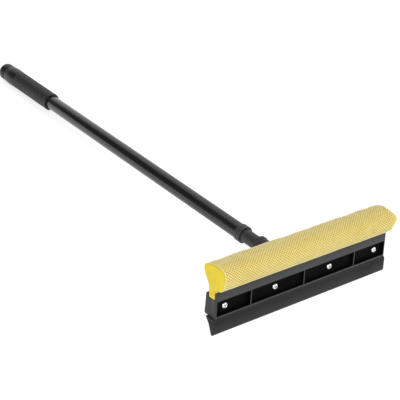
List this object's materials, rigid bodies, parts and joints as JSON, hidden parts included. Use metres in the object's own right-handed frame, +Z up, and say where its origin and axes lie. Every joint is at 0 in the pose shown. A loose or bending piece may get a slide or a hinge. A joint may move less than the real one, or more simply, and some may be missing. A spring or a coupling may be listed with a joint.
{
  "type": "telescopic windscreen squeegee",
  "caption": "Windscreen squeegee with a clamped rubber blade below a net-covered sponge, on a twist-lock telescopic pole with a ribbed grip.",
  "frame": {"origin": "middle of the rubber blade's wiping edge, where the tool rests on the floor", "axes": "+X along the head, +Y from the head towards the grip, +Z up from the floor with the blade's edge and the grip's swell on it"},
  "size_m": [0.2846, 0.698, 0.0893],
  "materials": {
    "head_plastic": "satin",
    "sponge_foam": "matte",
    "sponge_net": "matte",
    "blade_rubber": "satin",
    "screw_steel": "gloss",
    "inner_tube_coat": "satin",
    "pole_paint": "gloss",
    "collar_plastic": "satin",
    "grip_rubber": "matte",
    "lock_plastic": "satin"
  },
  "bodies": {
    "head": {"front_clamp_bar": "head_plastic", "back_body": "head_plastic", "foam_sponge": "sponge_foam", "sponge_net": "sponge_net", "rubber_blade": "blade_rubber", "clamp_screws": "screw_steel", "inner_tube": "inner_tube_coat", "socket_screw": "screw_steel", "lock_plug": "lock_plastic", "plug_pin": "screw_steel", "cam_washer": "screw_steel", "cam_screw": "screw_steel"},
    "guide": {"guide_ring": "lock_plastic"},
    "cam": {"cam_ring": "lock_plastic"},
    "handle": {"outer_tube": "pole_paint", "mouth_collar": "collar_plastic", "grip_sleeve": "grip_rubber", "end_cap": "grip_rubber"}
  },
  "joints": [
    {"name": "pole_twist", "type": "hinge", "parent": "head", "child": "guide", "pos_m": [0, 0.6381, 0.01436], "axis": [0, 0.9995, -0.0328], "range_deg": [-45, 45]},
    {"name": "pole_extend", "type": "slide", "parent": "guide", "child": "handle", "axis": [0, 0.9995, -0.0328], "range_m": [0, 0.4779]},
    {"name": "cam_turn", "type": "hinge", "parent": "head", "child": "cam", "pos_m": [-0.001, 0.65009, 0.01396], "axis": [0, 0.9995, -0.0328], "range_deg": [-45, 45]}
  ],
  "couplings": [
    {"joint": "cam_turn", "follows": "pole_twist", "ratio": 1}
  ]
}
